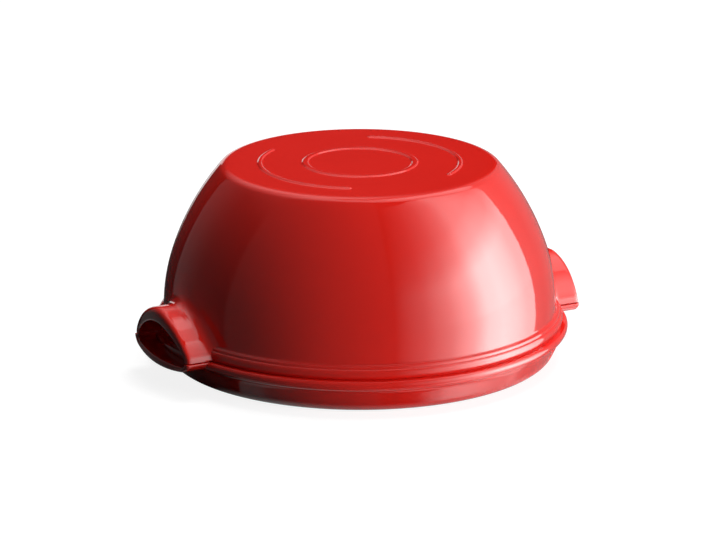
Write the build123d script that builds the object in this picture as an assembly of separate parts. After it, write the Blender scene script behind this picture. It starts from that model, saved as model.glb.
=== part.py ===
from build123d import *
from math import asin, atan2, cos, degrees, hypot, radians, sin, sqrt, tan
import os

# A bread cloche in glazed ceramic: a deep domed lid that lifts straight off a shallow tray.
# Each of the two has a half handle luted on at either side. The lid's hood stands over the
# tray's lip, and together they make a mouth that a hand reaches into.
# Millimetres. The origin is at the centre of the foot, Z is up and the handles lie along X.

# Overall sizes
tray_diameter = 295.0  # over the bead round the tray's rim, the widest ring
overall_height = 139.0  # from the foot to the flat top
seat_height = 24.8  # where the lid stands on the tray
handle_overhang = 13.0  # how far a lip's edge stands out past the bead
lid_wall = 7.0
crown_thickness = 7.5

# The lid's rim band, outside: a bead, a narrow step above it and a cove into the wall
lid_bead_setback = 3.6  # the lid's bead lies this far inside the tray's
lid_bead_height = 6.9
lid_edge_setback = 1.3  # the rim's lower edge lies this far inside the bead
step_setback = 2.0  # the step's foot lies this far inside the bead
step_lean = 1.4
step_height = 2.4
rim_cove_depth = 1.3  # the wall's foot lies this far inside the step's top
rim_cove_height = 1.5
rim_cove_radius = 2.0  # it meets the wall at a slight angle

# The lid's wall, outside: two curves and a shoulder that turns into the flat top
lower_curve_angle = 18.5  # how far the wall leans in at the end of its lower curve
upper_curve_angle = 39.7  # and at the end of its upper curve
upper_curve_share = 1.44  # the upper curve's radius as a share of the lower one's
shoulder_radius = 8.8
inside_shoulder_radius = 12.0

# The raised rings on the flat top
outer_ring_setback = 20.2  # from the flat top's edge to the outer ring
outer_ring_width = 4.2
outer_ring_sweep = 112.0  # degrees; the outer ring is two such arcs, one facing each handle
ring_spacing = 31.2  # from the outer ring's outside to the inner ring's
inner_ring_width = 5.6
ring_height = 0.8
ring_sink = 0.5  # how deep each ring's root is let into the top, before it is joined
ring_edge_radius = 0.35

# The tray, outside
foot_setback = 16.8  # from the widest ring in to where the underside begins to turn up
foot_turn_radius = 8.0
tray_wall_offset = 1.2  # the lower wall's line passes this far outside the bead's centre
tray_bead_section = 3.4  # radius of the bead's round section
tray_bead_drop = 4.2  # the bead's centre line lies this far below the seat
tray_edge_setback = 5.1  # the seat's outer edge lies this far inside the widest ring
foot_ring_width = 9.0
foot_recess = 1.8

# The tray, inside, and the fit of the lid over it
tray_floor_height = 8.0
tray_floor_turn = 15.0
seat_width = 5.6
upstand_height = 3.6  # the rim inside the seat, which keeps the lid from sliding
upstand_width = 4.6
upstand_clearance = 0.6
edge_round = 0.9
lid_edge_round = 0.8

# The handles. Each arch is a crown, two flanks and two springings, all tangent arcs. Its shares
# say how far from the crown each arc hands over to the next, as shares of the arch's pitch.
hood_half_width = 42.4
hood_rise = 29.8
hood_springing_radius = 10.5
hood_arch_shares = (0.427, 1.538)
hood_side_wall = 5.0
hood_crown_wall = 11.2
hood_mouth_springing_radius = 6.3
hood_mouth_arch_shares = (0.53, 1.571)
lip_proud = 0.6  # the lip's sides stand this far outside the hood's
lip_depth = 10.2
lip_springing_radius = 5.0
lip_arch_shares = (0.75, 3.6)
lip_side_wall = 5.0
lip_crown_wall = 5.0
lip_mouth_springing_radius = 2.5
lip_mouth_arch_shares = (0.642, 6.03)
handle_gap = 0.6  # between the hood's lower edge and the lip's upper edge
luting_gap = 0.05  # between a half handle and the wall that it is luted on to
hood_setback = 0.8  # the hood's rim lies this far inside the lip's
rim_plan_radius = 215.0  # the rims are bowed in plan
hood_cove_radius = 9.0
lip_cove_radius = 7.0
knee_radius = 25.0  # blends the wall that the lip's cove follows into the seat's edge
hood_rim_outer_round = 1.6
hood_rim_inner_round = 2.4
lip_rim_outer_round = 1.6
lip_rim_inner_round = 1.7

# Working allowances
overrun = 20.0  # how far a cutting or joining shape runs past what it shapes

# Sizes that follow
tray_radius = tray_diameter / 2
lip_reach = tray_radius + handle_overhang
hood_reach = lip_reach - hood_setback
tray_bead_ring = tray_radius - tray_bead_section
seat_outer_radius = tray_radius - tray_edge_setback
seat_inner_radius = seat_outer_radius - seat_width
upstand_inner_radius = seat_inner_radius - upstand_width
bore_radius = seat_inner_radius + upstand_clearance
foot_radius = tray_radius - foot_setback
lid_bead_radius = tray_radius - lid_bead_setback
step_top_radius = lid_bead_radius - step_setback - step_lean
step_top_height = seat_height + lid_bead_height + step_height
dome_radius = step_top_radius - rim_cove_depth
dome_foot_height = step_top_height + rim_cove_height
shoulder_rise = shoulder_radius * (1 - sin(radians(upper_curve_angle)))
wall_rise = overall_height - dome_foot_height - shoulder_rise
lower_lean = sin(radians(lower_curve_angle))
upper_lean = sin(radians(upper_curve_angle))
lower_curve_radius = wall_rise / (lower_lean + upper_curve_share * (upper_lean - lower_lean))
upper_curve_radius = lower_curve_radius * upper_curve_share
mouth_half_width = hood_half_width - hood_side_wall
hood_mouth_rise = hood_rise - hood_crown_wall
lip_half_width = hood_half_width + lip_proud
lip_mouth_half_width = lip_half_width - lip_side_wall
lip_mouth_depth = lip_depth - lip_crown_wall
half_turn = Rot(Z=180)


def turned(curves, growth=0):
    """Revolves a closed outline of radii and heights round the Z axis, with every radius grown."""
    return revolve(Pos(X=growth) * make_face(Plane.XZ * Curve(curves)), axis=Axis.Z)


def on_arc(centre, radius, angle):
    """A point on an arc; the angle is measured from the radial direction towards the top."""
    turn = radians(angle)
    return (centre[0] + radius * cos(turn), centre[1] + radius * sin(turn))


def arc_about(centre, radius, start, end):
    """An arc between two angles, as its start, its middle and its end."""
    middle = (start + end) / 2
    return ThreePointArc(*[on_arc(centre, radius, a) for a in (start, middle, end)])


def wall_centres():
    """Where the lower and the upper curve of the lid's wall have their centres."""
    lower = (dome_radius - lower_curve_radius, dome_foot_height)
    join = on_arc(lower, lower_curve_radius, lower_curve_angle)
    return lower, on_arc(join, upper_curve_radius, lower_curve_angle + 180)


def wall_curves(offset, end_angle):
    """The wall's two curves, moved inwards by the offset, up to an angle of the upper one."""
    lower, upper = wall_centres()
    return [
        arc_about(lower, lower_curve_radius - offset, 0, lower_curve_angle),
        arc_about(upper, upper_curve_radius - offset, lower_curve_angle, end_angle),
    ]


def shoulder_centre():
    """The centre of the shoulder's curve, which lies under the flat top's edge."""
    wall_top = on_arc(wall_centres()[1], upper_curve_radius, upper_curve_angle)
    return on_arc(wall_top, shoulder_radius, upper_curve_angle + 180)


def wall_and_shoulder():
    """The wall outside, with the shoulder that turns it into the flat top."""
    shoulder = arc_about(shoulder_centre(), shoulder_radius, upper_curve_angle, 90)
    return wall_curves(0, upper_curve_angle) + [shoulder]


def closed_down_axis(curves):
    """Closes an outline that runs up and in from its foot, along its top and down the axis."""
    foot, end = curves[0] @ 0, curves[-1] @ 1
    return curves + [
        Line(end, (0, end.Y)),
        Line((0, end.Y), (0, foot.Y)),
        Line((0, foot.Y), foot),
    ]


def lid_outside(growth=0):
    """The lid as a full body: rim band, wall, shoulder and flat top."""
    edge = (lid_bead_radius - lid_edge_setback, seat_height)
    bead_middle = (lid_bead_radius, seat_height + lid_bead_height / 2)
    bead_top = (lid_bead_radius - step_setback, seat_height + lid_bead_height)
    step_top = (step_top_radius, step_top_height)
    wall = wall_and_shoulder()
    step = RadiusArc(bead_top, step_top, -step_height)
    cove = RadiusArc(step_top, wall[0] @ 0, rim_cove_radius)
    rim = [ThreePointArc(edge, bead_middle, bead_top), step, cove]
    body = turned(closed_down_axis(rim + wall), growth)
    lower_edge = body.edges().filter_by_position(Axis.Z, seat_height, seat_height)
    return fillet(lower_edge, lid_edge_round)


def lid_inside():
    """The hollow of the lid: the rebate that fits over the tray's upstand, then the wall."""
    rebate_top = seat_height + upstand_height + upstand_clearance
    ceiling = overall_height - crown_thickness
    upper_centre = wall_centres()[1]
    ceiling_angle = degrees(asin((ceiling - upper_centre[1]) / (upper_curve_radius - lid_wall)))
    wall = wall_curves(lid_wall, ceiling_angle)
    wall_foot = wall[0] @ 0
    rebate = [
        Line((bore_radius, seat_height), (bore_radius, rebate_top)),
        Line((bore_radius, rebate_top), (wall_foot.X, rebate_top)),
        Line((wall_foot.X, rebate_top), wall_foot),
    ]
    hollow = turned(closed_down_axis(rebate + wall))
    return fillet(hollow.edges().filter_by(GeomType.CIRCLE).group_by(Axis.Z)[-1], inside_shoulder_radius)


def outer_ring_radius():
    """The outer ring's outside, measured in from the flat top's edge."""
    return shoulder_centre()[0] - outer_ring_setback


def raised_ring(shape):
    """A ring that stands on the flat top, with its upper edges rounded."""
    blank = extrude(Pos(Z=overall_height - ring_sink) * shape, ring_sink + ring_height)
    upper_edges = blank.edges().group_by(Axis.Z)[-1]
    return fillet(upper_edges, ring_edge_radius)


def outer_ring_arc():
    """The arc of the outer ring that faces the +X handle, with round ends."""
    middle_radius = outer_ring_radius() - outer_ring_width / 2
    centre_line = CenterArc((0, 0), middle_radius, -outer_ring_sweep / 2, outer_ring_sweep)
    return raised_ring(SlotArc(centre_line, outer_ring_width))


def inner_ring():
    """The full ring at the middle of the top."""
    outside = outer_ring_radius() - ring_spacing
    return raised_ring(Circle(outside) - Circle(outside - inner_ring_width))


def lid_dome():
    """The lid without its handles."""
    arc = outer_ring_arc()
    return lid_outside() - lid_inside() + inner_ring() + arc + half_turn * arc


def arch_radii(half_width, rise, springing_radius, angles):
    """The crown's and the flanks' radii, which the arch's width, rise and springings leave."""
    crown_sin, flank_sin = [sin(radians(angle)) for angle in angles]
    crown_cos, flank_cos = [cos(radians(angle)) for angle in angles]
    width_left = half_width - springing_radius * (1 - flank_sin)
    rise_left = rise - springing_radius * flank_cos
    whole = crown_sin * (crown_cos - flank_cos) - (flank_sin - crown_sin) * (1 - crown_cos)
    crown = (width_left * (crown_cos - flank_cos) - rise_left * (flank_sin - crown_sin)) / whole
    flank = (rise_left * crown_sin - width_left * (1 - crown_cos)) / whole
    return crown, flank


def arch(half_width, rise, springing_radius, pitch_shares, way=1):
    """An arch standing on the seat's level with straight legs, or hanging from it if way is -1."""
    pitch = degrees(atan2(rise, half_width))
    angles = [share * pitch for share in pitch_shares]
    crown_radius, flank_radius = arch_radii(half_width, rise, springing_radius, angles)
    right = []
    centre = (half_width - springing_radius, 0)
    right.append((centre, springing_radius, 0, 90 - angles[1]))
    join = on_arc(centre, springing_radius, 90 - angles[1])
    centre = on_arc(join, flank_radius, 270 - angles[1])
    right.append((centre, flank_radius, 90 - angles[1], 90 - angles[0]))
    crown_centre = (0, rise - crown_radius)
    left = [((-x, y), radius, 180 - end, 180 - start) for (x, y), radius, start, end in right]
    arcs = right + [(crown_centre, crown_radius, 90 - angles[0], 90 + angles[0])] + left[::-1]
    legs = Polyline((-half_width, 0), (-half_width, -overrun), (half_width, -overrun), (half_width, 0))
    outline = make_face(Curve([arc_about(*arc) for arc in arcs] + [legs]))
    upright = Plane(origin=(0, 0, seat_height), x_dir=(0, 1, 0), z_dir=(way, 0, 0))
    return upright * outline


def rim_plan(reach):
    """The round body whose side is the handle's outer rim."""
    height = overall_height + 2 * overrun
    place = Pos(reach - rim_plan_radius, 0, -overrun)
    return place * Cylinder(rim_plan_radius, height, align=(Align.CENTER, Align.CENTER, Align.MIN))


def beyond(level, way):
    """Everything above a level, or below it if way is -1."""
    size = 2 * (lip_reach + overrun)
    side = Align.MIN if way > 0 else Align.MAX
    return Pos(Z=level) * Box(size, size, size, align=(Align.CENTER, Align.CENTER, side))


def half_handle(outline, mouth, reach, cove_radius, rim_rounds, pot, plain_pot, way):
    """A hollow half handle on the +X side of a pot, with a cove where it flows into the wall."""
    outer_round, inner_round = rim_rounds
    block = extrude(outline, way * (reach + overrun)) & rim_plan(reach)
    rim = block.faces().sort_by(Axis.X)[-1]
    free_end = rim.edges().sort_by(Axis.Z, reverse=way > 0)[-1]
    block = fillet([edge for edge in rim.edges() if edge != free_end], outer_round)
    joined = plain_pot + block
    joined = fillet(new_edges(plain_pot, block, combined=joined), cove_radius)
    hollow = extrude(mouth, way * (reach + overrun))
    shell = joined - hollow
    mouth_edges = new_edges(joined, hollow, combined=shell).filter_by(
        lambda edge: edge.center().X > reach - cove_radius
    )
    shell = fillet(mouth_edges, inner_round) & beyond(seat_height + way * handle_gap / 2, way)
    return (shell - pot).solids().sort_by(Axis.X)[-1]


def plain_lid():
    """The lid's outside without its rim band, its wall carried straight down."""
    wall = wall_and_shoulder()
    foot = wall[0] @ 0
    skirt = Line((foot.X, -overrun), foot)
    return Rot(Z=90) * turned(closed_down_axis([skirt] + wall))


def lid_handle():
    """The hood on the +X side."""
    outline = arch(hood_half_width, hood_rise, hood_springing_radius, hood_arch_shares)
    mouth = arch(mouth_half_width, hood_mouth_rise, hood_mouth_springing_radius, hood_mouth_arch_shares)
    rounds = (hood_rim_outer_round, hood_rim_inner_round)
    pot = lid_outside(luting_gap)
    return half_handle(outline, mouth, hood_reach, hood_cove_radius, rounds, pot, plain_lid(), 1)


def tray_wall():
    """The lower wall's slope, and the turn from the underside up into it."""
    turn_centre = (foot_radius, foot_turn_radius)
    bead_away = tray_bead_ring - foot_radius
    bead_above = seat_height - tray_bead_drop - foot_turn_radius
    offset = foot_turn_radius - tray_wall_offset
    slope = atan2(bead_above, bead_away) + asin(offset / hypot(bead_away, bead_above))
    foot_turn = arc_about(turn_centre, foot_turn_radius, -90, degrees(slope) - 90)
    return slope, foot_turn


def tray_outside(growth=0):
    """The tray as a full body: foot, lower wall, bead and seat."""
    slope, foot_turn = tray_wall()
    start = foot_turn @ 1
    bead_centre = Vector(tray_bead_ring, seat_height - tray_bead_drop)
    along = Vector(cos(slope), sin(slope))
    wall_length = (bead_centre - start).dot(along) - sqrt(tray_bead_section**2 - tray_wall_offset**2)
    wall_top = start + along * wall_length
    groove_rise = sqrt(tray_bead_section**2 - (bead_centre.X - seat_outer_radius) ** 2)
    groove = Vector(seat_outer_radius, bead_centre.Y + groove_rise)
    bead = ThreePointArc(wall_top, bead_centre + Vector(tray_bead_section, 0), groove)
    edge = Line(groove, (seat_outer_radius, seat_height))
    outline = [foot_turn, Line(start, wall_top), bead, edge]
    return turned(closed_down_axis(outline), growth)


def plain_tray():
    """The tray's outside without its bead, its wall carried straight up past the seat."""
    slope, foot_turn = tray_wall()
    start = foot_turn @ 1
    knee = Vector(seat_outer_radius, start.Y + (seat_outer_radius - start.X) * tan(slope))
    outline = [foot_turn, Line(start, knee), Line(knee, (seat_outer_radius, overall_height))]
    body = Rot(Z=90) * turned(closed_down_axis(outline))
    knee_edge = body.edges().filter_by(GeomType.CIRCLE).group_by(Axis.Z)[-2]
    return fillet(knee_edge, knee_radius)


def tray_inside():
    """The hollow of the tray, down to its floor."""
    top = seat_height + upstand_height
    turn_centre = (upstand_inner_radius - tray_floor_turn, tray_floor_height + tray_floor_turn)
    floor_turn = arc_about(turn_centre, tray_floor_turn, -90, 0)
    side = Line(floor_turn @ 1, (upstand_inner_radius, top))
    return turned(closed_down_axis([floor_turn, side]))


def base_tray():
    """The tray without its handles."""
    seat_outer = tray_outside()
    upstand = Pos(Z=seat_height) * Cylinder(
        seat_inner_radius, upstand_height, align=(Align.CENTER, Align.CENTER, Align.MIN)
    )
    recess = Cylinder(
        foot_radius - foot_ring_width, foot_recess, align=(Align.CENTER, Align.CENTER, Align.MIN)
    )
    tray = seat_outer + upstand - tray_inside()
    tray = fillet(tray.edges().group_by(Axis.Z)[-1], edge_round)
    tray -= recess
    return tray


def base_handle():
    """The lip on the +X side."""
    outline = arch(lip_half_width, lip_depth, lip_springing_radius, lip_arch_shares, -1)
    mouth = arch(
        lip_mouth_half_width, lip_mouth_depth, lip_mouth_springing_radius, lip_mouth_arch_shares, -1
    )
    rounds = (lip_rim_outer_round, lip_rim_inner_round)
    pot = tray_outside(luting_gap)
    return half_handle(outline, mouth, lip_reach, lip_cove_radius, rounds, pot, plain_tray(), -1)


os.makedirs("parts", exist_ok=True)
hood = lid_handle()
lip = base_handle()
pieces = {
    "base_tray": base_tray(),
    "base_handle_right": lip,
    "base_handle_left": half_turn * lip,
    "lid_dome": lid_dome(),
    "lid_handle_right": hood,
    "lid_handle_left": half_turn * hood,
}
for name, piece in pieces.items():
    export_step(piece, f"parts/{name}.step")
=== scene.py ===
from math import asin, atan2, cos, degrees, hypot, pi, radians, sin, sqrt

import bmesh
import bpy
import numpy as np
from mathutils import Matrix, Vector


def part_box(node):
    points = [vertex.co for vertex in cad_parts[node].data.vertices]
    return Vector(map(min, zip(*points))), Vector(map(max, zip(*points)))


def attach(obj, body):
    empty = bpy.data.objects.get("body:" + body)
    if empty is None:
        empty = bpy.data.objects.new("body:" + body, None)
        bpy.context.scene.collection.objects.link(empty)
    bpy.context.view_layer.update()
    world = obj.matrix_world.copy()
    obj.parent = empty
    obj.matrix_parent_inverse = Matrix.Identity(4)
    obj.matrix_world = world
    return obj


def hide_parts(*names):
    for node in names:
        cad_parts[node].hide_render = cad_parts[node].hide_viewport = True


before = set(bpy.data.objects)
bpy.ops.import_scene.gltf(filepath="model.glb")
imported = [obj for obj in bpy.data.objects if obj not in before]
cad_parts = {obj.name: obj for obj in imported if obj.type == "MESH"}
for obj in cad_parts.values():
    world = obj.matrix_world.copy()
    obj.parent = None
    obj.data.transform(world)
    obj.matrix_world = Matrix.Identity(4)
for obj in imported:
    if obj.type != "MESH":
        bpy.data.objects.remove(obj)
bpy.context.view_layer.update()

# The tray. It is a shallow dish of pressed clay with a bead round its rim, glazed red all over
# but for the foot ring that it is fired on. The seat inside the rim carries the lid, and the
# upstand inside the seat keeps the lid from sliding off.
_, tray_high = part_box("base_tray")
lid_low, lid_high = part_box("lid_dome")
tray_radius = tray_high.x
seat_height = lid_low.z
upstand_top = tray_high.z
foot_radius = tray_radius - 0.0168
foot_turn_radius = 0.0080
foot_ring_width = 0.0090
foot_recess = 0.0018
tray_wall_offset = 0.0012
wall_aim = (tray_radius - 0.0034, seat_height - 0.0042)
bead_height = seat_height - 0.0027
bead_under_radius = 0.0050
bead_over_radius = 0.0021
bead_over_to = 40
bead_top = seat_height - 0.0004
seat_outer_radius = tray_radius - 0.0051
seat_inner_radius = seat_outer_radius - 0.0056
upstand_inner_radius = seat_inner_radius - 0.0046
tray_floor_height = 0.0080
tray_floor_turn = 0.0150
outline_step = 0.00025
longest_step = 0.005
kept_turn = radians(3)
glaze_softness = 0.0003
softening_widths = 4
columns = 320


class Shade:
    """A shader socket that takes part in sums, and the way to add any other node to its tree."""

    def __init__(self, tree, socket=None):
        self.tree, self.socket = tree, socket

    def node(self, kind, settings=None, sockets=None, output=0):
        """Adds a node of a type: first its settings, then the values or links of its sockets."""
        made = self.tree.nodes.new(kind)
        for name, value in (settings or {}).items():
            if name == "stops":
                elements = made.color_ramp.elements
                for place, _ in value[2:]:
                    elements.new(place)
                for element, (place, level) in zip(elements, value):
                    element.position = place
                    element.color = (level, level, level, 1)
            else:
                setattr(made, name, value)
        for name, value in (sockets or {}).items():
            if isinstance(value, Shade):
                self.tree.links.new(value.socket, made.inputs[name])
            else:
                made.inputs[name].default_value = value
        return Shade(self.tree, made.outputs[output] if made.outputs else None)

    def math(self, operation, *values):
        return self.node("ShaderNodeMath", {"operation": operation}, dict(enumerate(values)))

    def __add__(self, other):
        return self.math("ADD", self, other)

    def __sub__(self, other):
        return self.math("SUBTRACT", self, other)

    def __rsub__(self, other):
        return self.math("SUBTRACT", other, self)

    def __mul__(self, other):
        return self.math("MULTIPLY", self, other)

    def __truediv__(self, other):
        return self.math("DIVIDE", self, other)

    __radd__ = __add__
    __rmul__ = __mul__


def finish_of(owner):
    """An empty node tree for a material or a world."""
    owner.use_nodes = True
    owner.node_tree.nodes.clear()
    return Shade(owner.node_tree)


def red_glaze():
    """Thick red glaze: deep and even, pooled a little unevenly, with a wet shine."""
    material = bpy.data.materials.new("red_glaze")
    tree = finish_of(material)
    place = tree.node("ShaderNodeTexCoord", output=3)

    def noise(scale, detail):
        return tree.node(
            "ShaderNodeTexNoise", None, {"Vector": place, "Scale": scale, "Detail": detail}
        )

    pooling = noise(16, 3)
    speckle = noise(1400, 2)
    orange_peel = noise(210, 1)
    colour = tree.node(
        "ShaderNodeMix",
        {"data_type": "RGBA"},
        {0: pooling, 6: (0.77, 0.0145, 0.0085, 1), 7: (0.87, 0.0190, 0.0115, 1)},
        output=2,
    )
    deepened = tree.node(
        "ShaderNodeMix",
        {"data_type": "RGBA", "blend_type": "MULTIPLY"},
        {0: 0.25 * speckle, 6: colour, 7: (0.72, 0.55, 0.55, 1)},
        output=2,
    )
    bump = tree.node(
        "ShaderNodeBump", None, {"Strength": 0.12, "Distance": 0.0002, "Height": orange_peel}
    )
    shader = tree.node(
        "ShaderNodeBsdfPrincipled",
        None,
        {"Base Color": deepened, "Roughness": 0.04 + 0.04 * pooling, "Normal": bump, "IOR": 1.68},
    )
    tree.node("ShaderNodeOutputMaterial", None, {"Surface": shader})
    return material


def fired_clay():
    """The bare body of the ware where the foot ring was wiped: pale, fine and matt."""
    material = bpy.data.materials.new("fired_clay")
    tree = finish_of(material)
    place = tree.node("ShaderNodeTexCoord", output=3)
    grit = tree.node("ShaderNodeTexNoise", None, {"Vector": place, "Scale": 900.0, "Detail": 4.0})
    colour = tree.node(
        "ShaderNodeMix",
        {"data_type": "RGBA"},
        {0: grit, 6: (0.52, 0.38, 0.27, 1), 7: (0.70, 0.57, 0.44, 1)},
        output=2,
    )
    bump = tree.node("ShaderNodeBump", None, {"Strength": 0.4, "Distance": 0.0002, "Height": grit})
    shader = tree.node(
        "ShaderNodeBsdfPrincipled",
        None,
        {"Base Color": colour, "Roughness": 0.75 + 0.2 * grit, "Normal": bump},
    )
    tree.node("ShaderNodeOutputMaterial", None, {"Surface": shader})
    return material


def on_arc(centre, radius, angle):
    """A point on an arc; the angle is measured from the radial direction towards the top."""
    return np.array(centre) + radius * np.array([cos(radians(angle)), sin(radians(angle))])


def arc(centre, radius, start, end):
    """Points on an arc between two angles."""
    count = max(3, int(abs(radians(end - start)) * radius / outline_step) + 1)
    return np.array([on_arc(centre, radius, a) for a in np.linspace(start, end, count)])


def straight(*corners):
    """Points along straight runs from corner to corner."""
    runs = []
    for a, b in zip(corners[:-1], corners[1:]):
        count = max(2, int(hypot(b[0] - a[0], b[1] - a[1]) / outline_step) + 1)
        runs.append(np.linspace(a, b, count))
    return np.concatenate(runs)


def lengths_along(points):
    """How far along its outline each point lies."""
    return np.concatenate([[0], np.cumsum(np.hypot(*np.diff(points[:, :2], axis=0).T))])


def evenly(points, count):
    """The same outline with its points, and what they carry, at even spacing."""
    along = lengths_along(points)
    places = np.linspace(0, along[-1], count)
    return np.stack([np.interp(places, along, column) for column in points.T], 1)


def glazed(*runs):
    """An outline as the glaze leaves it, with its corners softened, and its outward normals."""
    points = np.concatenate(runs)
    points = evenly(points, int(lengths_along(points)[-1] / outline_step) + 1)
    reach = int(softening_widths * glaze_softness / outline_step) + 1
    weights = np.exp(-0.5 * (np.arange(-reach, reach + 1) * outline_step / glaze_softness) ** 2)
    before = 2 * points[0] - points[reach:0:-1]
    after = 2 * points[-1] - points[-2 : -reach - 2 : -1]
    padded = np.concatenate([before, points, after])
    soft = np.stack([np.convolve(c, weights / weights.sum(), "valid") for c in padded.T], 1)
    along = np.gradient(soft, axis=0)
    along /= np.hypot(*along.T)[:, None]
    return np.hstack([soft, along[:, 1:], -along[:, :1]])


def thinned(points, step_at=lambda point: longest_step):
    """Keeps a point where the outline has turned by kept_turn or has run on far enough."""
    kept = [0]
    for i in range(1, len(points) - 1):
        turned_by = points[i, 2:] @ points[kept[-1], 2:]
        run = hypot(*(points[i, :2] - points[kept[-1], :2]))
        if turned_by < cos(kept_turn) or run > step_at(points[i]):
            kept.append(i)
    return points[kept + [len(points) - 1]]


def turned(outline, angles):
    """Vertices, faces and normals of an outline turned on the wheel, closed on the axis."""
    inner = outline[1:-1]
    around = len(angles)
    cosines, sines = np.cos(angles), np.sin(angles)
    vertices = np.stack(
        [np.outer(inner[:, 0], cosines), np.outer(inner[:, 0], sines), np.outer(inner[:, 1], cosines**0)],
        -1,
    ).reshape(-1, 3)
    normals = np.stack(
        [np.outer(inner[:, 2], cosines), np.outer(inner[:, 2], sines), np.outer(inner[:, 3], cosines**0)],
        -1,
    ).reshape(-1, 3)
    poles = [[0, 0, outline[0, 1]], [0, 0, outline[-1, 1]]]
    first, last = len(vertices), len(vertices) + 1
    j = np.arange(around)
    k = (j + 1) % around
    rows = np.arange(len(inner) - 1)[:, None] * around
    quads = np.stack([rows + j, rows + k, rows + around + k, rows + around + j], -1).reshape(-1, 4)
    end = (len(inner) - 1) * around
    faces = quads.tolist()
    faces += [(first, b, a) for a, b in zip(j, k)]
    faces += [(last, end + a, end + b) for a, b in zip(j, k)]
    vertices = np.concatenate([vertices, poles])
    normals = np.concatenate([normals, [[0, 0, outline[0, 3]], [0, 0, outline[-1, 3]]]])
    return vertices, faces, normals


def new_piece(name, vertices, faces, body, slot, node, *materials):
    """A smooth piece that rides on its body and stands for its CAD node."""
    mesh = bpy.data.meshes.new(name)
    mesh.from_pydata([tuple(v) for v in vertices], [], [tuple(map(int, f)) for f in faces])
    work = bmesh.new()
    work.from_mesh(mesh)
    bmesh.ops.recalc_face_normals(work, faces=work.faces)
    work.to_mesh(mesh)
    work.free()
    mesh.shade_smooth()
    for material in materials:
        mesh.materials.append(material)
    piece = bpy.data.objects.new(name, mesh)
    bpy.context.scene.collection.objects.link(piece)
    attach(piece, body)
    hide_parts(node)
    return piece


wall_run = np.array([wall_aim[0] - foot_radius, wall_aim[1] - foot_turn_radius])
wall_lean = asin((foot_turn_radius - tray_wall_offset) / hypot(*wall_run))
wall_slope = atan2(*wall_run[::-1]) + wall_lean
foot_turn = arc((foot_radius, foot_turn_radius), foot_turn_radius, -90, degrees(wall_slope) - 90)
up_wall = np.array([cos(wall_slope), sin(wall_slope)])
under_centre = np.array([tray_radius - bead_under_radius, bead_height])
over_centre = np.array([tray_radius - bead_over_radius, bead_height])
to_bead = under_centre - foot_turn[-1]
into_bead = sqrt(bead_under_radius**2 - (up_wall[0] * to_bead[1] - up_wall[1] * to_bead[0]) ** 2)
wall_top = foot_turn[-1] + up_wall * (to_bead @ up_wall - into_bead)
bead_from = degrees(atan2(*(wall_top - under_centre)[::-1]))
over_end = on_arc(over_centre, bead_over_radius, bead_over_to)
bead_lip = over_end[0] - (bead_top - over_end[1]) * np.tan(radians(bead_over_to))
foot_ring_inside = foot_radius - foot_ring_width
floor_turn_centre = (upstand_inner_radius - tray_floor_turn, tray_floor_height + tray_floor_turn)
tray_outline = glazed(
    straight((0, foot_recess), (foot_ring_inside, foot_recess), (foot_ring_inside, 0), (foot_radius, 0)),
    foot_turn,
    straight(foot_turn[-1], wall_top),
    arc(under_centre, bead_under_radius, bead_from, 0),
    arc(over_centre, bead_over_radius, 0, bead_over_to),
    straight(
        over_end,
        (bead_lip, bead_top),
        (seat_outer_radius, bead_top),
        (seat_outer_radius, seat_height),
        (seat_inner_radius, seat_height),
        (seat_inner_radius, upstand_top),
        (upstand_inner_radius, upstand_top),
        (upstand_inner_radius, floor_turn_centre[1]),
    ),
    arc(floor_turn_centre, tray_floor_turn, 0, -90),
    straight((floor_turn_centre[0], tray_floor_height), (0, tray_floor_height)),
)
glaze = red_glaze()
even_turn = np.linspace(0, 2 * pi, columns, endpoint=False)
vertices, faces, normals = turned(thinned(tray_outline), even_turn)
tray = new_piece("tray", vertices, faces, "tray", "tray_glaze", "base_tray", glaze, fired_clay())
tray.data.normals_split_custom_set_from_vertices(normals.tolist())
wiped_height = 0.0007
for face in tray.data.polygons:
    out = hypot(face.center.x, face.center.y)
    if face.center.z < wiped_height and out > foot_ring_inside - glaze_softness:
        face.material_index = 1

# The lid. It is a deep bowl of pressed clay, turned over: a rim band with a bead and a narrow
# step, a wall that leans in along two curves, a tight shoulder and a flat top. Two arcs and a
# ring stand up on the top under the same red glaze.
ring_height = 0.0008
flat_top = lid_high.z - ring_height
lid_bead_radius = lid_high.x
lid_bead_middle = 0.0035
lid_bead_face = 0.0051
lid_bead_turn = (0.0011, 35, 80)
step_setback = 0.00205
step_foot_rise = 0.0069
step_face = (0.0030, -5, 30)
step_turn = (0.0007, 30, 78)
dome_setback = 0.0047
dome_foot_rise = 0.0108
rim_cove = (0.0016, 255)
lower_curve_angle = 18.5
upper_curve_angle = 39.7
upper_curve_share = 1.44
shoulder_radius = 0.0088
inside_shoulder_radius = 0.0120
lid_wall = 0.0070
crown_thickness = 0.0075
upstand_clearance = 0.0006
outer_ring_setback = 0.0202
outer_ring_width = 0.0042
outer_ring_sweep = 112
ring_spacing = 0.0312
inner_ring_width = 0.0056
ring_slope = 0.0016
arc_end_length = 0.0045
arc_end_columns = 37

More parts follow.
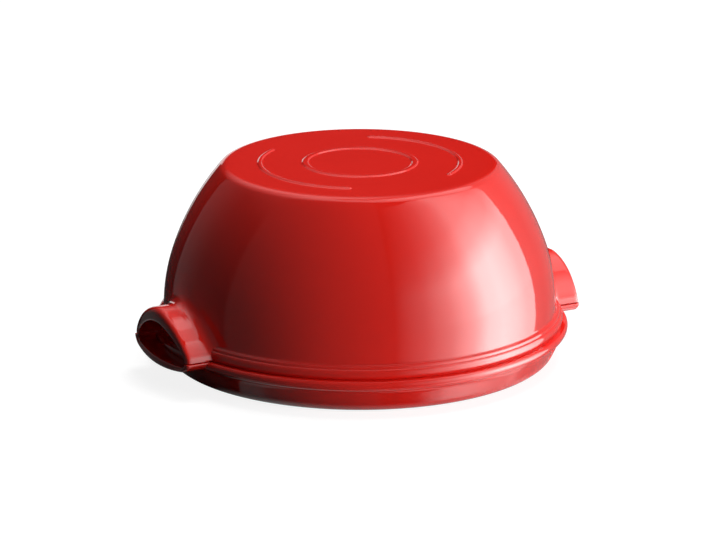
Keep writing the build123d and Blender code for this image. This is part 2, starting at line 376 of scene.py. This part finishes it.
face_centre = np.array([lid_bead_radius - lid_bead_face, seat_height + lid_bead_middle])
face_from = -degrees(asin(lid_bead_middle / lid_bead_face))
edge = on_arc(face_centre, lid_bead_face, face_from)
turn_centre = on_arc(face_centre, lid_bead_face - lid_bead_turn[0], lid_bead_turn[1])
step_foot = np.array([lid_bead_radius - step_setback, seat_height + step_foot_rise])
step_centre = on_arc(step_foot, step_face[0], step_face[1] + 180)
step_turn_centre = on_arc(step_centre, step_face[0] - step_turn[0], step_face[2])
dome_radius = lid_bead_radius - dome_setback
dome_foot = seat_height + dome_foot_rise
cove_centre = np.array([dome_radius + rim_cove[0], dome_foot])
lower_lean, upper_lean = sin(radians(lower_curve_angle)), sin(radians(upper_curve_angle))
wall_rise = flat_top - dome_foot - shoulder_radius * (1 - upper_lean)
lower_radius = wall_rise / (lower_lean + upper_curve_share * (upper_lean - lower_lean))
upper_radius = lower_radius * upper_curve_share
lower_centre = np.array([dome_radius - lower_radius, dome_foot])
curve_join = on_arc(lower_centre, lower_radius, lower_curve_angle)
upper_centre = on_arc(curve_join, upper_radius, lower_curve_angle + 180)
wall_end = on_arc(upper_centre, upper_radius, upper_curve_angle)
shoulder_centre = on_arc(wall_end, shoulder_radius, upper_curve_angle + 180)

inner_upper_radius = upper_radius - lid_wall
ceiling = flat_top - crown_thickness
turn_height = ceiling - inside_shoulder_radius
turn_reach = sqrt((inner_upper_radius - inside_shoulder_radius) ** 2 - (turn_height - upper_centre[1]) ** 2)
inside_turn = np.array([upper_centre[0] + turn_reach, turn_height])
inside_turn_angle = degrees(atan2(*(inside_turn - upper_centre)[::-1]))
bore_radius = seat_inner_radius + upstand_clearance
rebate_top = upstand_top + upstand_clearance
lid_outline = glazed(
    straight((0, ceiling), (inside_turn[0], ceiling)),
    arc(inside_turn, inside_shoulder_radius, 90, inside_turn_angle),
    arc(upper_centre, inner_upper_radius, inside_turn_angle, lower_curve_angle),
    arc(lower_centre, lower_radius - lid_wall, lower_curve_angle, 0),
    straight(
        (dome_radius - lid_wall, dome_foot),
        (dome_radius - lid_wall, rebate_top),
        (bore_radius, rebate_top),
        (bore_radius, seat_height),
        edge,
    ),
    arc(face_centre, lid_bead_face, face_from, lid_bead_turn[1]),
    arc(turn_centre, *lid_bead_turn),
    arc(step_centre, *step_face),
    arc(step_turn_centre, *step_turn),
    arc(cove_centre, rim_cove[0], rim_cove[1], 180),
    arc(lower_centre, lower_radius, 0, lower_curve_angle),
    arc(upper_centre, upper_radius, lower_curve_angle, upper_curve_angle),
    arc(shoulder_centre, shoulder_radius, upper_curve_angle, 90),
    straight((shoulder_centre[0], flat_top), (0, flat_top)),
)
outer_ring_middle = shoulder_centre[0] - outer_ring_setback - outer_ring_width / 2
inner_ring_middle = shoulder_centre[0] - outer_ring_setback - ring_spacing - inner_ring_width / 2
arc_end = radians(outer_ring_sweep / 2)


def ring_rise(x, y):
    """How far the raised arcs and the ring lift the top at a place."""
    out = np.hypot(x, y)
    off_axis = np.arctan2(np.abs(y), np.abs(x))
    past_end = np.maximum(off_axis - arc_end, 0)
    from_line = np.hypot(out * np.sin(past_end), out * np.cos(past_end) - outer_ring_middle)
    inside_arc = outer_ring_width / 2 - from_line
    inside_ring = inner_ring_width / 2 - np.abs(out - inner_ring_middle)
    share = np.clip(np.maximum(inside_arc, inside_ring) / ring_slope, 0, 1)
    return ring_height * share**2 * (3 - 2 * share)


def finer_at_rings(point):
    """Short steps where the rings rise, and long ones on the plain parts."""
    margin = 0.0005
    near_arc = abs(point[0] - outer_ring_middle) < outer_ring_width / 2 + margin
    near_ring = abs(point[0] - inner_ring_middle) < inner_ring_width / 2 + margin
    return outline_step if point[1] > flat_top - margin and (near_arc or near_ring) else longest_step


end_room = arc_end_length / outer_ring_middle
close_steps = np.linspace(-end_room, end_room, arc_end_columns)
arc_ends = [side + way * arc_end for side in (0, pi) for way in (1, -1)]
close_turns = [(end + step) % (2 * pi) for end in arc_ends for step in close_steps]
far_turns = [a for a in even_turn if min(abs((a - e + pi) % (2 * pi) - pi) for e in arc_ends) > end_room]
lid_turns = np.sort(np.array(close_turns + far_turns))
vertices, faces, normals = turned(thinned(lid_outline, finer_at_rings), lid_turns)
on_top = vertices[:, 2] > flat_top - outline_step / 10
nudge = outline_step / 5
slope_x, slope_y = [
    (
        ring_rise(vertices[:, 0] + dx, vertices[:, 1] + dy)
        - ring_rise(vertices[:, 0] - dx, vertices[:, 1] - dy)
    )
    / (2 * nudge)
    for dx, dy in ((nudge, 0), (0, nudge))
]
vertices[:, 2] += np.where(on_top, ring_rise(vertices[:, 0], vertices[:, 1]), 0)
normals[:, 0] -= np.where(on_top, slope_x, 0)
normals[:, 1] -= np.where(on_top, slope_y, 0)
normals /= np.linalg.norm(normals, axis=1)[:, None]
lid = new_piece("lid", vertices, faces, "lid", "lid_glaze", "lid_dome", glaze)
lid.data.normals_split_custom_set_from_vertices(normals.tolist())

# The half handles. Each is a pressed half arch of clay, luted on to the lid or the tray with
# slip, and its joint is smoothed into a cove before glazing. The lid's hood stands over the
# tray's lip, and the hand reaches into the mouth between them.
handle_gap = 0.0006
handle_overhang = 0.01299
hood_setback = 0.0008
rim_plan_radius = 0.2150
knee_radius = 0.0250
lip_reach = tray_radius + handle_overhang
hood_shape = {
    "outside": (0.0424, 0.0298, 0.0105, (0.427, 1.538)),
    "mouth": (0.0374, 0.0186, 0.0063, (0.53, 1.571)),
    "reach": lip_reach - hood_setback,
    "round_shares": (0.42, 0.28),
    "cove": 0.0090,
    "way": 1,
}
lip_shape = {
    "outside": (0.0430, 0.0102, 0.0050, (0.75, 3.6)),
    "mouth": (0.0380, 0.0052, 0.0025, (0.642, 6.03)),
    "reach": lip_reach,
    "round_shares": (0.32, 0.34),
    "cove": 0.0070,
    "way": -1,
}
arch_points = 161
straight_rows = 9
round_rows = 6
cove_rows = 16
split_softness = 0.0005
bury_depth = 0.0010
near_contact_share = 0.99
skirt_rows = ((0.0006, 0.000015), (0.0014, 0.00008), (0.0024, 0.0003))


def arch(half_width, rise, springing_radius, pitch_shares, level):
    """Even points and outward normals of an arch of tangent arcs, from a level over its feet."""
    pitch = degrees(atan2(rise, half_width))
    crown_angle, flank_angle = [share * pitch for share in pitch_shares]
    crown_sin, flank_sin = sin(radians(crown_angle)), sin(radians(flank_angle))
    crown_cos, flank_cos = cos(radians(crown_angle)), cos(radians(flank_angle))
    width_left = half_width - springing_radius * (1 - flank_sin)
    rise_left = rise - springing_radius * flank_cos
    whole = crown_sin * (crown_cos - flank_cos) - (flank_sin - crown_sin) * (1 - crown_cos)
    crown_radius = (width_left * (crown_cos - flank_cos) - rise_left * (flank_sin - crown_sin)) / whole
    flank_radius = (rise_left * crown_sin - width_left * (1 - crown_cos)) / whole
    springing = np.array([half_width - springing_radius, 0])
    hand_over = on_arc(springing, springing_radius, 90 - flank_angle)
    flank = on_arc(hand_over, flank_radius, 270 - flank_angle)
    crown = np.array([0, rise - crown_radius])
    arcs = (
        (springing, springing_radius, degrees(asin(level / springing_radius)), 90 - flank_angle),
        (flank, flank_radius, 90 - flank_angle, 90 - crown_angle),
        (crown, crown_radius, 90 - crown_angle, 90),
    )
    right = []
    for centre, radius, start, end in arcs:
        points = arc(centre, radius, start, end)
        right.append(np.hstack([points, (points - centre) / radius]))
    right = np.concatenate(right)
    left = right[::-1] * (-1, 1, -1, 1)
    points = evenly(np.concatenate([right, left]), arch_points)
    points[:, 2:] /= np.hypot(*points[:, 2:].T)[:, None]
    return points


def plain_lid():
    """The lid's wall without its rim band, carried straight down, with its normals."""
    skirt = straight((dome_radius, 0), (dome_radius, dome_foot))
    wall = [
        arc(lower_centre, lower_radius, 0, lower_curve_angle),
        arc(upper_centre, upper_radius, lower_curve_angle, upper_curve_angle),
    ]
    lower = np.hstack([wall[0], (wall[0] - lower_centre) / lower_radius])
    upper = np.hstack([wall[1], (wall[1] - upper_centre) / upper_radius])
    return np.concatenate([np.hstack([skirt, skirt * 0 + (1, 0)]), lower, upper])


def plain_tray():
    """The tray's wall without its bead, blended into the seat's edge, with its normals."""
    knee_height = foot_turn[-1][1] + (seat_outer_radius - foot_turn[-1][0]) * np.tan(wall_slope)
    away = knee_radius * np.tan((pi / 2 - wall_slope) / 2)
    knee_centre = np.array([seat_outer_radius - knee_radius, knee_height + away])
    knee = arc(knee_centre, knee_radius, degrees(wall_slope) - 90, 0)
    side = straight(knee[-1], (seat_outer_radius, flat_top))
    turn_normals = (foot_turn - (foot_radius, foot_turn_radius)) / foot_turn_radius
    return np.concatenate([
        np.hstack([foot_turn, turn_normals]),
        np.hstack([knee, (knee - knee_centre) / knee_radius]),
        np.hstack([side, side * 0 + (1, 0)]),
    ])


def half_handle(shape, wall):
    """Vertices and faces of a half handle on the +X side."""
    way, reach, cove = shape["way"], shape["reach"], shape["cove"]
    level = handle_gap / 2 + split_softness

    def upright(points):
        """Places, with X still zero, and normals of an arch's points."""
        zero = np.zeros(len(points))
        places = np.stack([zero, points[:, 0], seat_height + way * points[:, 1]], 1)
        return places, np.stack([zero, points[:, 2], way * points[:, 3]], 1)

    def at(places, x):
        return np.stack([x * np.ones(len(places)), places[:, 1], places[:, 2]], 1)

    def rim(places):
        return reach - rim_plan_radius + np.sqrt(rim_plan_radius**2 - places[:, 1] ** 2)

    outside, outward = upright(arch(*shape["outside"], level))
    mouth, mouth_outward = upright(arch(*shape["mouth"], level))
    thickness = np.linalg.norm(outside - mouth, axis=1)[:, None]
    outer_round, inner_round = [share * thickness for share in shape["round_shares"]]
    outer_face = outside - outer_round * outward
    inner_face = mouth + inner_round * mouth_outward
    quarter = np.radians(np.linspace(0, 90, round_rows))

    offset_wall = wall[:, :2] + cove * wall[:, 2:]
    ball = outside + cove * outward
    ball_out = np.interp(ball[:, 2], offset_wall[:, 1], offset_wall[:, 0])
    ball[:, 0] = np.sqrt(ball_out**2 - ball[:, 1] ** 2)
    wall_normal_out = np.interp(ball[:, 2], offset_wall[:, 1], wall[:, 2])
    wall_normal_up = np.interp(ball[:, 2], offset_wall[:, 1], wall[:, 3])
    wall_normal = np.stack(
        [wall_normal_out * ball[:, 0] / ball_out, wall_normal_out * ball[:, 1] / ball_out, wall_normal_up], 1
    )
    wall_normal /= np.linalg.norm(wall_normal, axis=1)[:, None]
    swing = np.arccos(np.sum(outward * wall_normal, 1))[:, None]

    def on_ball(share):
        towards = np.sin((1 - share) * swing) * outward + np.sin(share * swing) * wall_normal
        return ball - cove * towards / np.sin(swing)

    outer_rows = [at(outer_face * (1 - s) + inner_face * s, 0) for s in (0.5, 0.25)]
    for row in outer_rows:
        row[:, 0] = rim(row)
    for turn in quarter:
        places = outside - outer_round * (1 - sin(turn)) * outward
        outer_rows.append(at(places, rim(outer_face) - outer_round[:, 0] * (1 - cos(turn))))
    start = outer_rows[-1][:, 0]
    for share in np.linspace(0, 1, straight_rows)[1:]:
        outer_rows.append(at(outside, start + share * (ball[:, 0] - start)))
    for share in np.linspace(0, 1, cove_rows)[1:]:
        outer_rows.append(on_ball(share))
    contact = outer_rows[-1]
    along_wall = contact - on_ball(near_contact_share)
    along_wall /= np.linalg.norm(along_wall, axis=1)[:, None]
    for run, depth in skirt_rows:
        outer_rows.append(contact + run * along_wall - depth * wall_normal)
    outer_rows.append(outer_rows[-1] - bury_depth * wall_normal)

    inner_rows = [at(outer_face * (1 - s) + inner_face * s, 0) for s in (0.75, 1)]
    for row in inner_rows:
        row[:, 0] = rim(row)
    for turn in quarter[1:]:
        places = mouth + inner_round * (1 - sin(turn)) * mouth_outward
        inner_rows.append(at(places, rim(inner_face) - inner_round[:, 0] * (1 - cos(turn))))
    start = inner_rows[-1][:, 0]
    wall_out = np.interp(mouth[:, 2], wall[:, 1], wall[:, 0])
    back = np.sqrt(wall_out**2 - mouth[:, 1] ** 2) - bury_depth
    for share in np.linspace(0, 1, len(outer_rows) - len(inner_rows))[1:]:
        inner_rows.append(at(mouth, start + share * (back - start)))

    loops = np.stack(outer_rows + inner_rows[::-1], 1)

    def soft_end(loop, inside_out):
        """The loops that round an end's edges off down to the split, and the flat ones in it."""
        along = np.roll(loop, -1, 0) - np.roll(loop, 1, 0)
        inward = np.stack([-along[:, 1], along[:, 0], 0 * along[:, 0]], 1) * inside_out
        inward /= np.linalg.norm(inward, axis=1)[:, None]
        rounded = []
        for turn in quarter[1:]:
            inset = split_softness * (1 - cos(turn))
            rounded.append(loop + inward * inset - (0, 0, way * split_softness * sin(turn)))
        rounded.append(rounded[-1] + inward * split_softness)
        return rounded

    right_end = soft_end(loops[0], way_round(loops[0]))
    left_end = soft_end(loops[-1], way_round(loops[-1]))
    loops = np.concatenate([right_end[::-1], loops, left_end])
    count, around = loops.shape[:2]
    rows = np.arange(count - 1)[:, None] * around
    j = np.arange(around)
    k = (j + 1) % around
    faces = np.stack([rows + j, rows + k, rows + around + k, rows + around + j], -1).reshape(-1, 4).tolist()
    for base in (0, (count - 1) * around):
        faces.append((base, base + 1, base + around - 1))
        for i in range(1, around // 2):
            faces.append((base + i, base + i + 1, base + around - i - 1, base + around - i))
    faces = [tuple(dict.fromkeys(face)) for face in faces]
    return loops.reshape(-1, 3), [face for face in faces if len(face) > 2]


def way_round(loop):
    """1 if a loop runs anticlockwise seen from above, or else -1."""
    x, y = loop[:, 0], loop[:, 1]
    return 1 if np.sum(x * np.roll(y, -1) - y * np.roll(x, -1)) > 0 else -1


for name, shape, wall, body, slot, node in (
    ("hood", hood_shape, plain_lid(), "lid", "lid_glaze", "lid_handle"),
    ("lip", lip_shape, plain_tray(), "tray", "tray_glaze", "base_handle"),
):
    vertices, faces = half_handle(shape, wall)
    new_piece(f"{name}_right", vertices, faces, body, slot, f"{node}_right", glaze)
    new_piece(f"{name}_left", vertices * (-1, -1, 1), faces, body, slot, f"{node}_left", glaze)

# The studio. A white sheet lies on the table in a white room, a wide softbox stands on the right
# and a panel hangs overhead. Dark flags on the camera's side and cloths round the back make what
# the glaze mirrors. The camera itself sees none of them.
floor_half = 9.0
room_radius = 4.0
key_peak = 9.5
panel_step = 3
panel_rows = 16
azimuths_from = -100
softbox_from, softbox_to = -9, 93


def dome_patch(name, material, az_from, az_to, stops):
    """A part of a dome round the table, between azimuths, whose foot and top height angles vary."""
    azimuths = np.arange(az_from, az_to + panel_step, panel_step)
    foots = np.interp(azimuths, [s[0] for s in stops], [s[1] for s in stops])
    tops = np.interp(azimuths, [s[0] for s in stops], [s[2] for s in stops])
    shares = np.linspace(0, 1, panel_rows)
    vertices = []
    for az, foot, top in zip(np.radians(azimuths), foots, tops):
        for el in np.radians(foot + shares * (top - foot)):
            vertices.append((
                room_radius * cos(el) * sin(az), -room_radius * cos(el) * cos(az), room_radius * sin(el)
            ))
    faces = []
    for i in range(len(azimuths) - 1):
        for j in range(len(shares) - 1):
            a = i * len(shares) + j
            faces.append((a, a + 1, a + len(shares) + 1, a + len(shares)))
    mesh = bpy.data.meshes.new(name)
    mesh.from_pydata(vertices, [], faces)
    mesh.materials.append(material)
    patch = bpy.data.objects.new(name, mesh)
    bpy.context.scene.collection.objects.link(patch)
    patch.visible_camera = False
    patch.visible_shadow = False
    return patch


def lit_cloth(name, strength, across_stops, up_stops, matt_share=1):
    """A cloth that glows by stops of azimuth and of height angle, both in degrees.

    Rays that don't come from a glossy surface get only matt_share of it."""
    cloth = bpy.data.materials.new(name)
    tree = finish_of(cloth)
    spot = tree.node("ShaderNodeTexCoord", output=3)
    parts = tree.node("ShaderNodeSeparateXYZ", None, {0: spot})
    x, y, z = [Shade(tree.tree, socket) for socket in parts.socket.node.outputs]
    azimuth = tree.math("ARCTAN2", x, 0 - y) * (180 / pi)
    azimuth = azimuth + 360 * tree.math("LESS_THAN", azimuth, azimuths_from)
    height = tree.math("ARCSINE", z / room_radius) * (180 / pi)

    def level(value, stops):
        low, high = stops[0][0], stops[-1][0]
        shares = [((place - low) / (high - low), bright) for place, bright in stops]
        return tree.node("ShaderNodeValToRGB", {"stops": shares}, {0: (value - low) / (high - low)})

    path = tree.node("ShaderNodeLightPath")
    in_glaze = Shade(tree.tree, path.socket.node.outputs["Is Glossy Ray"])
    glow = level(azimuth, across_stops) * level(height, up_stops) * strength
    glow = glow * (matt_share + (1 - matt_share) * in_glaze)
    light = tree.node("ShaderNodeEmission", None, {"Strength": glow})
    tree.node("ShaderNodeOutputMaterial", None, {"Surface": light})
    return cloth


softbox = lit_cloth(
    "softbox",
    key_peak,
    ((-10, 0), (10, 0.1), (25, 0.26), (40, 0.58), (50, 0.98), (62, 1), (74, 0.74), (84, 0.48), (94, 0.36)),
    ((0, 1), (20, 1), (28, 0.55), (38, 0.31), (48, 0.25), (62, 0.2)),
)
key = dome_patch(
    "softbox_panel", softbox, softbox_from, softbox_to, [(softbox_from, 0, 62), (softbox_to, 0, 62)]
)
key.visible_diffuse = False
back_cloth = lit_cloth(
    "back_cloth",
    1,
    ((138, 0.3), (147, 0.35), (152, 1), (168, 1)),
    ((0, 1), (8, 1), (11, 0.03), (19, 0.03), (27, 0.3), (40, 0.75), (60, 1)),
)
dome_patch("back_wall", back_cloth, 138, 168, [(138, 0, 60), (168, 0, 60)])
far_cloth = lit_cloth(
    "far_cloth",
    1,
    ((165, 1), (188, 0.5), (192, 0.4)),
    ((0, 0.03), (19, 0.03), (27, 0.3), (40, 0.75), (60, 1)),
)
dome_patch("far_wall", far_cloth, 168, 192, [(168, 0, 60), (192, 0, 60)])
left_cloth = lit_cloth(
    "left_cloth",
    1,
    ((190, 1), (205, 0.9), (222, 0.5), (249, 0.35)),
    ((0, 0.13), (34, 0.13), (50, 0.35), (64, 0.9)),
    0.25,
)
dome_patch("left_wall", left_cloth, 192, 249, [(192, 0, 64), (222, 0, 80), (249, 0, 84)])
side_cloth = lit_cloth("side_cloth", 0.7, ((93, 1), (106, 0.6), (138, 0.43)), ((0, 1), (40, 1)), 0.4)
dome_patch("side_wall", side_cloth, 93, 138, [(93, 0, 40), (138, 0, 40)])

flag_cloth = lit_cloth("flag_cloth", 1, ((249, 0.1), (351, 0.1)), ((0, 1), (90, 1)), 0)
dome_patch("flags", flag_cloth, 249, 351, [(249, 0, 84), (260, 0, 85), (332, 0, 87), (351, 0, 82)])
ceiling_cloth = lit_cloth("ceiling_cloth", 1, ((351, 0.03), (411, 0.03)), ((0, 1), (90, 1)))
dome_patch("ceiling_flag", ceiling_cloth, 351, 411, [(351, 62, 82), (385, 62, 76), (411, 62, 66)])
overhead = lit_cloth(
    "overhead_cloth", 1.6, ((93, 1), (128, 1), (142, 0.15), (165, 0.1)), ((30, 0), (45, 1), (90, 1))
)
dome_patch("overhead_panel", overhead, 93, 165, [(93, 40, 78), (130, 40, 74), (165, 45, 72)])

lamp_distance = 3.0
lamp_width = 1.6
for name, az, el, power in (("main_light", 32, 26, 38), ("top_light", 120, 71, 58)):
    lamp = bpy.data.lights.new(name, "AREA")
    lamp.shape, lamp.size, lamp.energy = "DISK", lamp_width, power
    light = bpy.data.objects.new(name, lamp)
    turn, rise = radians(az), radians(el)
    light.location = lamp_distance * Vector((cos(rise) * sin(turn), -cos(rise) * cos(turn), sin(rise)))
    light.rotation_mode = "QUATERNION"
    light.rotation_quaternion = (-light.location).to_track_quat("-Z", "Y")
    light.visible_glossy = False
    light.visible_camera = False
    bpy.context.scene.collection.objects.link(light)

# The camera sees the sheet white with the object's shadow on it. The glaze sees it as a mirror of
# the room, with a painted glow close in front of the foot: a white band that gives the glaze's foot
# a painted reflection of a pale line. For all other rays its matt colour is painted: near white on
# the right and near black on its left-hand side, so that the object's left gets painted shade.
seen_glow = 0.86
seen_white = 0.24
# Lit and shaded copies of the sheet's matt white, which paint shade on its left-hand side, and the ring of
# painted glow in front of the foot.
painted_lit_white = 0.9
painted_shade_white = 0.02
mirror_white = 0.95
mirror_roughness = 0.1
painted_reflection_from, painted_reflection_to = 0.1385, 0.1410
painted_reflection_share = 0.6
painted_reflection_inside = 0.128
front_from, front_to = 0.4, 0.75
lit_from, lit_to = -0.05, 0.6


def grey(level):
    """A colour without a tint."""
    return (level, level, level, 1)


sheet_finish = bpy.data.materials.new("white_sheet")
tree = finish_of(sheet_finish)
path = tree.node("ShaderNodeLightPath")
seen = tree.node("ShaderNodeEmission", None, {"Strength": seen_glow})
shaded = tree.node("ShaderNodeBsdfDiffuse", None, {"Color": grey(seen_white)})
to_camera = tree.node("ShaderNodeAddShader", None, {0: seen, 1: shaded})
bright = tree.node("ShaderNodeBsdfDiffuse", None, {"Color": grey(painted_lit_white)})
painted_shaded_side = tree.node("ShaderNodeBsdfDiffuse", None, {"Color": grey(painted_shade_white)})
shine = tree.node(
    "ShaderNodeBsdfGlossy", None, {"Color": grey(mirror_white), "Roughness": mirror_roughness}
)
spot = tree.node("ShaderNodeTexCoord", output=3)
out = tree.node("ShaderNodeVectorMath", {"operation": "LENGTH"}, {0: spot}, output=1)
parts = tree.node("ShaderNodeSeparateXYZ", None, {0: spot})
x, y, z = [Shade(tree.tree, socket) for socket in parts.socket.node.outputs]
# Painted reflection: a ring of the sheet just in front of the foot glows for glossy rays, fading out towards
# the left and away from the foot, and not right under the foot, so the foot shows a pale line.
near_foot = tree.node(
    "ShaderNodeMapRange", None, {0: out, 1: painted_reflection_from, 2: painted_reflection_to, 3: painted_reflection_share, 4: 0}
)
clear_of_foot = tree.math("GREATER_THAN", out, painted_reflection_inside)
towards_front = (-0.17 * x - 0.98 * y) / out
in_front = tree.node(
    "ShaderNodeMapRange", None, {0: towards_front, 1: front_from, 2: front_to, 3: 0, 4: 1}
)
painted_foot_reflection = near_foot * in_front * clear_of_foot
to_glaze = tree.node("ShaderNodeMixShader", None, {0: painted_foot_reflection, 1: shine, 2: seen})
# Painted shade: for matt rays the sheet is near white on the right and near black on the left, so it throws
# light back only onto the object's right-hand side.
across = 0.62 * x - 0.78 * y
painted_lit_side = tree.node(
    "ShaderNodeMapRange", None, {0: across / out, 1: lit_from, 2: lit_to, 3: 0, 4: 1}
)
matt = tree.node("ShaderNodeMixShader", None, {0: painted_lit_side, 1: painted_shaded_side, 2: bright})
glossy_ray = Shade(tree.tree, path.socket.node.outputs["Is Glossy Ray"])
unseen = tree.node("ShaderNodeMixShader", None, {0: glossy_ray, 1: matt, 2: to_glaze})
surface = tree.node("ShaderNodeMixShader", None, {0: path, 1: unseen, 2: to_camera})
under = tree.node("ShaderNodeNewGeometry", output=6)
clear = tree.node("ShaderNodeBsdfTransparent")
sheet = tree.node("ShaderNodeMixShader", None, {0: under, 1: surface, 2: clear})
tree.node("ShaderNodeOutputMaterial", None, {"Surface": sheet})
mesh = bpy.data.meshes.new("white_sheet")
corners = [(x * floor_half, y * floor_half, 0) for x, y in ((-1, -1), (1, -1), (1, 1), (-1, 1))]
mesh.from_pydata(corners, [], [(0, 1, 2, 3)])
mesh.materials.append(sheet_finish)
floor = bpy.data.objects.new("white_sheet", mesh)
bpy.context.scene.collection.objects.link(floor)

room = bpy.data.worlds.new("white_room")
bpy.context.scene.world = room
tree = finish_of(room)
path = tree.node("ShaderNodeLightPath")
rays = path.socket.node.outputs
to_eye, in_glaze, through = [
    Shade(tree.tree, rays[name]) for name in ("Is Camera Ray", "Is Glossy Ray", "Is Transmission Ray")
]
seen = tree.math("MINIMUM", 1, to_eye + in_glaze + through)
room_on_matt = 0.5
glow = room_on_matt + (1 - room_on_matt) * seen
white = tree.node("ShaderNodeBackground", None, {"Color": grey(1), "Strength": glow})
tree.node("ShaderNodeOutputWorld", None, {"Surface": white})

# The camera looks down a little on the left-hand side, from far off with a long lens.
camera_azimuth = radians(-28)
camera_height_angle = radians(16.45)
camera_distance = 2.65
focal_pixels = 3744
image_width = 716
sensor_width = 36
aim_height = 0.0662
aim_drop_pixels = 8.5
aim_left_pixels = 2
aim_drop = aim_drop_pixels / focal_pixels * camera_distance
aim_left = aim_left_pixels / focal_pixels * camera_distance
away = Vector((
    sin(camera_azimuth) * cos(camera_height_angle),
    -cos(camera_azimuth) * cos(camera_height_angle),
    sin(camera_height_angle),
))
to_right = Vector((cos(camera_azimuth), sin(camera_azimuth), 0))
place = Vector((0, 0, aim_height)) + away * camera_distance
aim = Vector((0, 0, aim_height)) - to_right * aim_left - to_right.cross(-away) * aim_drop
lens = bpy.data.cameras.new("camera")
lens.sensor_width = sensor_width
lens.lens = focal_pixels / image_width * sensor_width
lens.clip_end = 50
camera = bpy.data.objects.new("camera", lens)
camera.location = place
camera.rotation_mode = "QUATERNION"
camera.rotation_quaternion = (aim - place).to_track_quat("-Z", "Y")
bpy.context.scene.collection.objects.link(camera)
bpy.context.scene.camera = camera
bpy.context.scene.view_settings.view_transform = "Standard"
